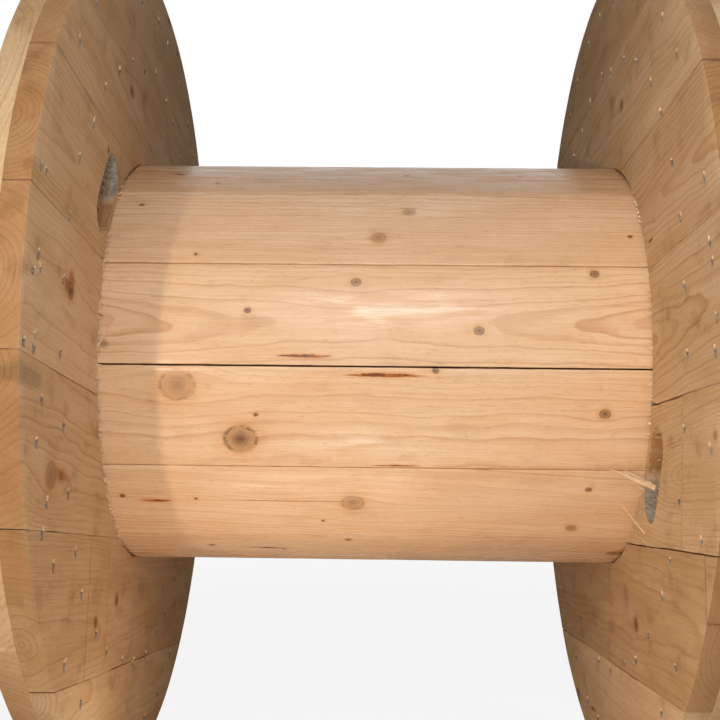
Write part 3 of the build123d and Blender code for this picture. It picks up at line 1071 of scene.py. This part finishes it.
def stave(number, start, sweep, low_gap, high_gap):
    """One stave, from its section: an arched face, a flat back and edges on radii."""
    half = sweep / 2
    made = bmesh.new()

    def edge_point(way, gap, height=None):
        """Corner of the section, on the face or at a height on the edge's radius."""
        reach = barrel_radius
        if height is not None:
            reach = (height - gap / 2 * math.sin(half)) / math.cos(half)
        return (
            0.0,
            way * (reach * math.sin(half) - gap / 2 * math.cos(half)),
            reach * math.cos(half) + gap / 2 * math.sin(half),
        )

    low, high = edge_point(-1, low_gap), edge_point(1, high_gap)
    half_chord = (high[1] - low[1]) / 2
    drop = math.sqrt(stave_face_radius ** 2 - half_chord ** 2)
    centre = (0, (low[1] + high[1]) / 2, low[2] - drop)
    stave_back = centre[2] + stave_face_radius - stave_thickness
    arch = 2 * math.asin(half_chord / stave_face_radius)
    first = made.verts.new(low)
    bmesh.ops.spin(
        made, geom=[first], cent=centre, axis=(-1, 0, 0), angle=arch, steps=20, use_merge=False
    )
    face_line = sorted(made.verts, key=lambda v: v.co.y)
    back_high = made.verts.new(edge_point(1, high_gap, stave_back))
    back_low = made.verts.new(edge_point(-1, low_gap, stave_back))
    made.faces.new(face_line + [back_high, back_low])
    bmesh.ops.translate(made, verts=made.verts, vec=(-stave_reach, 0, 0))
    grown = bmesh.ops.extrude_face_region(made, geom=made.faces[:])["geom"]
    moved = [g for g in grown if isinstance(g, bmesh.types.BMVert)]
    bmesh.ops.translate(made, verts=moved, vec=(2 * stave_reach, 0, 0))
    chance = random.Random(number)
    along = -stave_reach + 0.012
    while along < stave_reach - 0.01:
        saw(made, (along, 0, 0), (1, 0, 0))
        along += chance.uniform(0.014, 0.024)
    seed = chance.uniform(0, 90)
    face_edge = barrel_radius * math.cos(half) - 0.002
    for vert in made.verts:
        if vert.co.z > face_edge and abs(abs(vert.co.y) - half_chord) < 0.002:
            wear = max(0.0, noise.noise(Vector((vert.co.x * 45, seed, vert.co.y * 30))))
            vert.co.y -= math.copysign(wear * 0.0007, vert.co.y)
            vert.co.z -= wear * 0.0004
    bmesh.ops.recalc_face_normals(made, faces=made.faces)
    ease_edges(made, 0.0008)
    turned = start + half
    place = Matrix((
        (1, 0, 0, 0),
        (0, -math.sin(turned), math.cos(turned), 0),
        (0, math.cos(turned), math.sin(turned), 0),
        (0, 0, 0, 1),
    ))
    bmesh.ops.transform(made, matrix=place, verts=made.verts)
    bmesh.ops.recalc_face_normals(made, faces=made.faces)
    name = f"stave_{number:02d}"
    piece = as_piece(name + "_dressed", made)

    crown = centre[2] + stave_face_radius
    lies = place @ Matrix(((1, 0, 0, 0), (0, 1, 0, 0), (0, 0, -1, crown), (0, 0, 0, 1)))
    front_height = (math.pi - turned) * barrel_radius * 1000
    if number in stave_growth:
        pith, rings, knots, pockets = stave_growth[number]
        knots = [(x, front_height - s, r, look) for x, s, r, look in knots]
        pockets = [(x, front_height - s, length, tall) for x, s, length, tall in pockets]
    else:
        width = half_chord * 1000
        pith, rings, knots, pockets = chance_growth(name, -width, width, 280)
    smear, stain = (
        (x, front_height - s, length, tall)
        for x, s, length, tall in stave_marks.get(number, [nowhere, nowhere])
    )
    # The top stave's tone is painted shade; the other staves' tones are aged tones
    tone = stave_tones_and_top_shade.get(number, 0.0 if number in stave_growth else chance.uniform(0.0, 0.25))
    lay_grain(piece, lies, pith, rings, knots, pockets, tone=tone, smear=smear, stain=stain)
    finish_piece(piece, planed_spruce, name)


seam = first_seam
for number in range(1, stave_count + 1):
    sweep = stave_sweep if number < stave_count else 2 * math.pi - 13 * stave_sweep
    stave(number, seam, sweep, seam_gaps.get(number - 1, 0.0005), seam_gaps.get(number, 0.0005))
    seam += sweep


# ---------------------------------------------------------------------------------------------
# Tie bolts: four zinc-plated hexagon bolts run through the barrel and clamp both flanges. Each
# has a square plate washer under its head and under its nut.
# ---------------------------------------------------------------------------------------------
washer_thickness, washer_half = 0.004, 0.025
bolt_radius, hexagon_half, head_height, nut_height = 0.007, 0.011, 0.0088, 0.0128
hexagon_corner = hexagon_half / math.cos(math.pi / 6)
bolt_end = outer_face + washer_thickness + nut_height + 0.005


def blotches(tree, scale, detail):
    """Even noise over a small part."""
    spot = Signal(tree, node(tree, "TexCoord", {}).outputs["Object"])
    made = node(tree, "TexNoise", {"Vector": spot, "Scale": scale, "Detail": detail})
    return Signal(tree, made.outputs["Fac"])


def roughen(tree, surface, strength, distance, height):
    bump = node(tree, "Bump", {"Strength": strength, "Distance": distance, "Height": height})
    tree.links.new(bump.outputs["Normal"], surface.inputs["Normal"])


zinc, tree, surface = start_material("zinc_plated_steel")
stain = blotches(tree, 90.0, 4.0)
spot = Signal(tree, node(tree, "TexCoord", {}).outputs["Object"])
patches = node(tree, "TexVoronoi", {"Vector": spot, "Scale": 260.0, "Randomness": 1.0})
shine = Signal(tree, patches.outputs["Distance"])
colour = mixed(tree, shine, srgb(168, 170, 170), srgb(132, 134, 135))
colour = mixed(tree, stain.step(0.55, 0.75) * 0.7, colour, srgb(122, 84, 56))
tree.links.new(colour.socket, surface.inputs["Base Color"])
tree.links.new((stain * 0.35 + 0.28).socket, surface.inputs["Roughness"])
tree.links.new((1.0 - stain.step(0.55, 0.75) * 0.8).socket, surface.inputs["Metallic"])
roughen(tree, surface, 0.6, 0.0002, stain)


def hexagon_block(made, low, high, centre, turned):
    """Hexagon along X, from one end to the other."""
    put = Matrix.Translation(((low + high) / 2, *centre)) @ Matrix.Rotation(turned, 4, "X")
    bmesh.ops.create_cone(
        made, cap_ends=True, segments=6, radius1=hexagon_corner, radius2=hexagon_corner,
        depth=high - low, matrix=put @ Matrix.Rotation(math.pi / 2, 4, "Y"),
    )


def turned_corners(piece, low, high, centre, outer_end_too):
    """Chamfers a hexagon's corners by meeting it with a turned blank."""
    drop = (hexagon_corner - hexagon_half) * 0.62
    flat, beyond = hexagon_half * 0.97, hexagon_corner + 0.001
    profile = [(flat, low), (hexagon_corner + 0.0002, low + drop)]
    if outer_end_too:
        profile += [(hexagon_corner + 0.0002, high - drop), (flat, high)]
    else:
        profile.append((beyond, high + 0.001))
    made = bmesh.new()
    lathe(made, profile, centre, 48)
    blank = as_piece("turned_blank", made)
    meet = piece.modifiers.new("meet", "BOOLEAN")
    meet.operation, meet.solver, meet.object = "INTERSECT", "EXACT", blank
    apply_modifiers(piece)
    bpy.data.objects.remove(blank)


def bore(piece, profile, centre):
    made = bmesh.new()
    lathe(made, profile, centre, 40)
    drill = as_piece("drill", made)
    cut_out(piece, drill)
    bpy.data.objects.remove(drill)


for number, turned in enumerate(bolt_turns, 1):
    centre = (bolt_circle * math.cos(turned), bolt_circle * math.sin(turned))

    for side, way in side_way.items():
        made = bmesh.new()
        inner, outer = sorted((way * outer_face, way * (outer_face + washer_thickness)))
        put = Matrix.Translation(((inner + outer) / 2, *centre)) @ Matrix.Rotation(turned, 4, "X")
        size = Matrix.Diagonal((outer - inner, 2 * washer_half, 2 * washer_half, 1))
        bmesh.ops.create_cube(made, size=1, matrix=put @ size)
        upright = [
            e for e in made.edges if abs((e.verts[0].co - e.verts[1].co).normalized().x) > 0.9
        ]
        bmesh.ops.bevel(
            made, geom=upright, offset=0.003, offset_type="OFFSET", segments=4, profile=0.5,
            affect="EDGES", material=-1,
        )
        ease_edges(made, 0.0006, sharpest=0.9)
        plate = as_piece(f"{side}_washer_{number}_dressed", made)
        bore(plate, [(bolt_hole_radius, inner - 0.001), (bolt_hole_radius, outer + 0.001)], centre)
        finish_piece(plate, zinc, f"{side}_washer_{number}")

    low, high = outer_face + washer_thickness, outer_face + washer_thickness + nut_height
    made = bmesh.new()
    hexagon_block(made, low, high, centre, turned)
    nut = as_piece(f"bolt_nut_{number}_dressed", made)
    turned_corners(nut, low, high, centre, outer_end_too=True)
    bore(nut, [
        (bolt_radius + 0.002, low - 0.0015), (bolt_radius, low + 0.0005),
        (bolt_radius, high - 0.0005), (bolt_radius + 0.002, high + 0.0015),
    ], centre)
    finish_piece(nut, zinc, f"bolt_nut_{number}")

    seat = -(outer_face + washer_thickness)
    made = bmesh.new()
    hexagon_block(made, seat - head_height, seat, centre, turned)
    head = as_piece("bolt_head", made)
    turned_corners(head, seat - head_height, seat, centre, outer_end_too=False)
    made = bmesh.new()
    made.from_mesh(head.data)
    thread_start, pitch = outer_face - 0.03, 0.002
    profile = [(bolt_radius - 0.0002, seat - 0.001), (bolt_radius - 0.0002, thread_start)]
    along = thread_start
    while along + pitch < bolt_end - 0.001:
        profile.append((bolt_radius - 0.0013, along + pitch / 2))
        profile.append((bolt_radius - 0.0001, along + pitch))
        along += pitch
    profile += [(bolt_radius - 0.0014, bolt_end - 0.0001), (bolt_radius - 0.0016, bolt_end)]
    lathe(made, profile, centre, 40)
    bpy.data.objects.remove(head)
    bolt = as_piece(f"tie_bolt_{number}_dressed", made)
    finish_piece(bolt, zinc, f"tie_bolt_{number}")


# ---------------------------------------------------------------------------------------------
# Nails: wire nails are driven from the outer boards and clinched on the inner face, where each
# point lies bent over in a torn pit. Their flat heads sit flush in the outer face.
# ---------------------------------------------------------------------------------------------
dull_steel, tree, surface = start_material("dull_nail_steel")
stain = blotches(tree, 240.0, 3.0)
colour = mixed(tree, stain.step(0.35, 0.65), srgb(150, 138, 122), srgb(108, 94, 80))
tree.links.new(colour.socket, surface.inputs["Base Color"])
tree.links.new((stain * 0.4 + 0.4).socket, surface.inputs["Roughness"])
surface.inputs["Metallic"].default_value = 0.1

for side, way in side_way.items():
    chance = random.Random(side + " points")
    made = bmesh.new()
    for y, z in nails[side]:
        lean = Matrix.Rotation(math.pi / 2 + chance.uniform(-0.5, 0.5), 4, "X")
        put = Matrix.Translation((way * (inner_face + 0.0007), y, z - 0.002)) @ lean
        bmesh.ops.create_cone(
            made, cap_ends=True, segments=8, radius1=0.0021, radius2=0.0010, depth=0.0056,
            matrix=put @ Matrix.Rotation(math.pi / 2, 4, "X"),
        )
    finish_piece(as_piece(f"{side}_nail_points", made), dull_steel)

    made = bmesh.new()
    heads = list(nails[side])
    for ring, count in ((0.110, 12), (0.200, 20)):
        for turn in range(count):
            turned = 2 * math.pi * (turn + 0.37) / count
            heads.append((ring * math.cos(turned), ring * math.sin(turned)))
    for y, z in heads:
        put = Matrix.Translation((way * outer_face, y, z)) @ Matrix.Rotation(math.pi / 2, 4, "Y")
        put = put @ Matrix.Rotation(chance.uniform(-0.03, 0.03), 4, "X")
        bmesh.ops.create_cone(
            made, cap_ends=True, segments=14, radius1=0.0038, radius2=0.0038, depth=0.0009,
            matrix=put,
        )
    finish_piece(as_piece(f"{side}_nail_heads", made), dull_steel, flat_axis=0)


# ---------------------------------------------------------------------------------------------
# Torn fibres: slivers of pale wood that still hang at the slots, at the groove's edge and at
# the barrel's ends, where the saw and the router tore them up.
# ---------------------------------------------------------------------------------------------
pale_fibre, tree, surface = start_material("pale_fibre")
stripes = blotches(tree, 150.0, 2.0)
colour = mixed(tree, stripes.step(0.3, 0.7), srgb(234, 202, 166), srgb(214, 176, 134))
tree.links.new(colour.socket, surface.inputs["Base Color"])
surface.inputs["Roughness"].default_value = 0.7
roughen(tree, surface, 0.3, 0.0003, stripes)


def sliver(made, root, tip, width, thickness):
    """Flat tapering splinter from its root to its tip, with its broad side to the front."""
    root, tip = Vector(root), Vector(tip)
    length = (tip - root).length
    run = (tip - root).normalized()
    front = Vector((0, -1, 0.001))
    thin = (front - run * run.dot(front)).normalized()
    facing = Matrix((thin, run.cross(thin), run)).transposed().to_4x4()
    before = set(made.verts)
    bmesh.ops.create_cone(made, cap_ends=True, segments=6, radius1=0.5, radius2=0.06, depth=1)
    for share in (-0.25, 0.0, 0.25):
        own = [v for v in made.verts if v not in before]
        own += [e for e in made.edges if all(v not in before for v in e.verts)]
        own += [f for f in made.faces if all(v not in before for v in f.verts)]
        bmesh.ops.bisect_plane(made, geom=own, plane_co=(0, 0, share), plane_no=(0, 0, 1))
    own = [v for v in made.verts if v not in before]
    for vert in own:
        rise = vert.co.z + 0.5
        sway = noise.noise(Vector((rise * 3, root.y * 500, root.z * 500))) * 0.06 * length
        vert.co = Vector((vert.co.x * thickness, vert.co.y * width + sway * rise, rise * length))
    bmesh.ops.transform(made, matrix=Matrix.Translation(root) @ facing, verts=own)


for side, way in side_way.items():
    chance = random.Random(side + " fibres")
    made = bmesh.new()
    turned = board_slope[side]
    grain_way = Vector((0, math.cos(turned), math.sin(turned)))
    for _ in range(110):
        share = 1.7 - abs(chance.gauss(0, 1.1))
        angle = slot_middle[side] + slot_run[side] * share * slot_half_sweep
        reach = slot_radius + chance.choice((-1, 1)) * chance.uniform(0.55, 1.0) * slot_width / 2
        y, z = reach * math.cos(angle), reach * math.sin(angle)
        if not in_slot(side, y, z, 0.001):
            continue
        depth = min(max(0.0, slot_depth(side, y, z)), 0.03) * chance.uniform(0.1, 0.9)
        root = Vector((way * (inner_face + depth), y, z))
        run = grain_way * chance.choice((-1, 1)) * chance.uniform(0.006, 0.020)
        lift = Vector((-way * chance.uniform(-0.001, 0.003), 0, chance.uniform(-0.002, 0.002)))
        sliver(made, root, root + run + lift, chance.uniform(0.0008, 0.0022), 0.0006)
    for _ in range(150 if side == "left" else 50):
        angle = math.pi + chance.uniform(-0.95, 1.0)
        if abs(angle - slot_middle[side]) < slot_half_sweep:
            continue
        reach = 0.2509 + chance.uniform(0, 0.0015)
        y, z = reach * math.cos(angle), reach * math.sin(angle)
        root = Vector((way * (inner_face + 0.0006), y, z))
        run = grain_way * chance.uniform(-1, 1) * 0.0035
        lift = Vector((-way * chance.uniform(0.0016, 0.0060), 0, chance.uniform(-0.003, 0.003)))
        sliver(made, root, root + run + lift, chance.uniform(0.0014, 0.0036), 0.0009)
    for y, z in nails[side]:
        if no_room_for_nail(side, y, z):
            continue
        for _ in range(chance.randint(1, 2)):
            aside, above = chance.uniform(-0.003, 0.003), chance.uniform(0.001, 0.004)
            root = Vector((way * (inner_face + 0.0006), y + aside, z + above))
            run = grain_way * chance.uniform(-0.002, 0.002)
            lift = Vector((-way * chance.uniform(0.0010, 0.0026), 0, chance.uniform(-0.001, 0.004)))
            sliver(made, root, root + run + lift, chance.uniform(0.0030, 0.0050), 0.0012)
    finish_piece(as_piece(f"{side}_torn_fibres", made), pale_fibre)


def on_barrel(along, height, lift=0.0):
    """Point over the barrel from its place along it and round it, in millimetres."""
    turned = math.pi - height / 1000 / barrel_radius
    reach = barrel_radius + lift
    return Vector((along / 1000, reach * math.cos(turned), reach * math.sin(turned)))


made = bmesh.new()
sliver(made, (0.2962, -0.262, -0.1268), on_barrel(256, -112, 0.004), 0.0056, 0.0014)
sliver(made, (0.2958, -0.249, -0.124), on_barrel(264, -111, 0.003), 0.0026, 0.0010)
sliver(made, (0.2960, -0.224, -0.182), on_barrel(272, -159, 0.003), 0.0022, 0.0008)
sliver(made, (0.2955, -0.236, -0.192), (0.2915, -0.216, -0.184), 0.0018, 0.0008)
sliver(made, on_barrel(-294.6, 15, 0.002), on_barrel(-284, 31, 0.004), 0.0024, 0.0008)
sliver(made, on_barrel(-294.6, 53, 0.002), on_barrel(-285, 47, 0.004), 0.0020, 0.0008)
finish_piece(as_piece("stray_splinters", made), pale_fibre)
